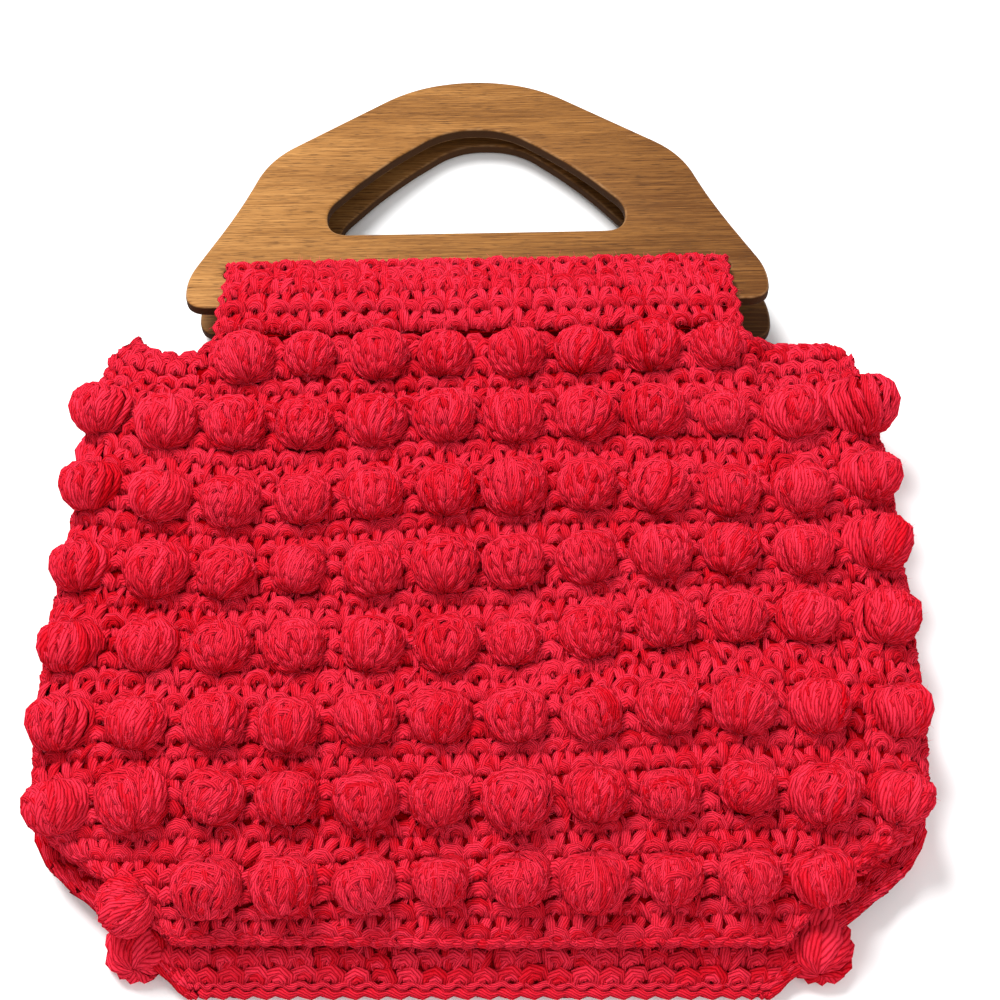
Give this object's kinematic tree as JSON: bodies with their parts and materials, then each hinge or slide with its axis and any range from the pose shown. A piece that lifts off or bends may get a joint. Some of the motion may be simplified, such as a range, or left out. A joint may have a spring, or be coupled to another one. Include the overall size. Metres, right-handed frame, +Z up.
{
  "type": "crocheted handbag with wooden handles",
  "caption": "Soft crocheted handbag with raised bobble stitches, hung by stitched hems on two flat plywood handles with arched grips, lying on its back.",
  "frame": {"origin": "middle of the footprint, on the surface that the bag lies on", "axes": "+X across the bag, +Y from its base to its handles, +Z up off the surface, out of the front panel"},
  "size_m": [0.2994, 0.3574, 0.0478],
  "materials": {
    "plywood": "satin varnish, fine grain",
    "red_yarn": "soft acrylic yarn"
  },
  "bodies": {
    "root": {"front_handle": "plywood", "rear_handle": "plywood", "front_hem": "red_yarn", "rear_hem": "red_yarn", "front_panel": "red_yarn", "rear_panel": "red_yarn"}
  },
  "joints": []
}
